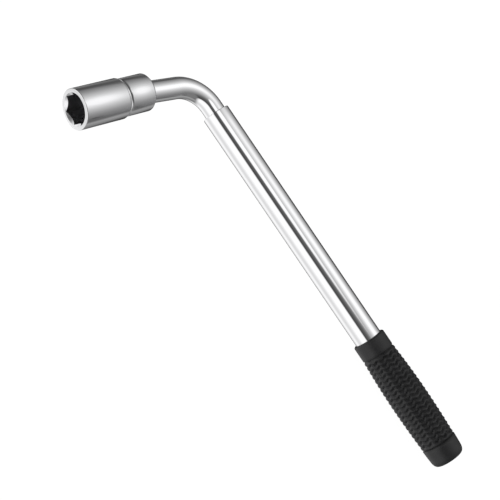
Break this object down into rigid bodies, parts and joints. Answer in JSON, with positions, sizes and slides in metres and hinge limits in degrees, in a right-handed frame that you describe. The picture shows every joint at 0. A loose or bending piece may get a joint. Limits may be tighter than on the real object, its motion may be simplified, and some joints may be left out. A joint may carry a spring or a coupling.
{
  "type": "lug wrench",
  "caption": "Extending lug wrench: a bent bar slides in a tube handle with a ribbed rubber grip, and its square drive carries a pull-off two-ended hexagon socket.",
  "frame": {"origin": "centre of the nut socket's front face, on the socket's axis", "axes": "+X along the handle towards the grip; the socket opens towards -Y and a little to -X; +Z square to the plane of the bend, up when the wrench lies flat"},
  "size_m": [0.387, 0.1277, 0.0306],
  "materials": {
    "bar_chrome": "bright plated steel",
    "tube_chrome": "bright plated steel",
    "socket_chrome": "satin plated steel",
    "grip_rubber": "matt moulded rubber",
    "ball_steel": "polished",
    "spring_steel": "drawn wire",
    "bush_steel": "turned",
    "sleeve_brass": "turned",
    "washer_steel": "pressed",
    "head_steel": "turned",
    "pin_steel": "ground",
    "plug_plastic": "moulded"
  },
  "bodies": {
    "bar": {"drive_bar": "bar_chrome", "drive_spring": "spring_steel", "sleeve_washer": "washer_steel", "tail_head": "head_steel", "head_pin": "pin_steel", "lock_spring": "spring_steel"},
    "socket": {"nut_socket": "socket_chrome"},
    "drive_catch": {"drive_ball": "ball_steel"},
    "lock_catch": {"lock_ball": "ball_steel"},
    "sleeve": {"guide_sleeve": "sleeve_brass"},
    "handle": {"outer_tube": "tube_chrome", "mouth_bush": "bush_steel", "tube_plug": "plug_plastic", "hand_grip": "grip_rubber"}
  },
  "joints": [
    {"name": "handle_turn", "type": "hinge", "parent": "bar", "child": "sleeve", "pos_m": [0.25609, 0.1098, 0], "axis": [1, 0, 0], "continuous": true},
    {"name": "handle_slide", "type": "slide", "parent": "sleeve", "child": "handle", "axis": [1, 0, 0], "range_m": [0, 0.175]},
    {"name": "socket_pull", "type": "slide", "parent": "bar", "child": "socket", "axis": [-0.1805, -0.9836, 0], "range_m": [0, 0.05]},
    {"name": "lock_catch", "type": "slide", "parent": "bar", "child": "lock_catch", "axis": [0, 0, 1], "range_m": [0, 0.0009], "stiffness_N_per_m": 1500, "deforming": ["lock_spring"]},
    {"name": "drive_catch", "type": "slide", "parent": "bar", "child": "drive_catch", "axis": [0, 0, 1], "range_m": [0, 0.00075], "stiffness_N_per_m": 1200, "deforming": ["drive_spring"]}
  ]
}
